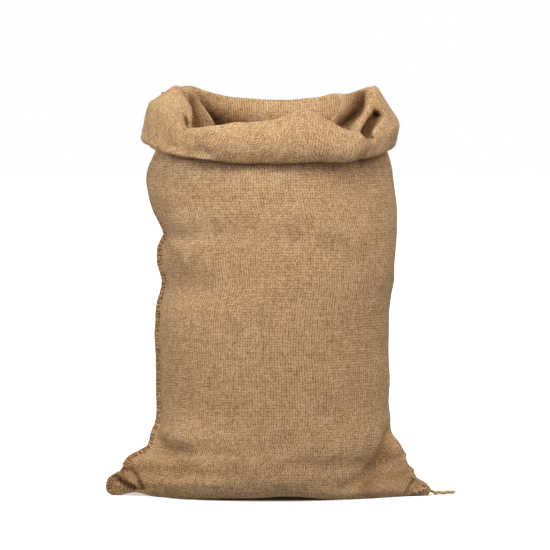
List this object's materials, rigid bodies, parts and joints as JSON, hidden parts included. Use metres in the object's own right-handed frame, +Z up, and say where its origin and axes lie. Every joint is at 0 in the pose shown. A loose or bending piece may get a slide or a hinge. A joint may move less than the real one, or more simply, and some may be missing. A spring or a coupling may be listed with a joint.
{
  "type": "hessian sack",
  "caption": "Empty woven hessian sack standing open, its mouth turned down outward as a cuff, with an overlocked side seam, eared bottom corners and a loose thread tail.",
  "frame": {"origin": "on the floor under the middle of the sack's body, on its flat bottom", "axes": "+Z up out of the open mouth, +X to the sack's right seen from the front, -Y towards the front"},
  "size_m": [0.5382, 0.2781, 0.634],
  "materials": {
    "hessian": "open plain weave of natural jute, matt",
    "jute_thread": "twisted jute sewing thread, matt"
  },
  "bodies": {
    "root": {"sack": "hessian", "thread_tail": "jute_thread"}
  },
  "joints": []
}
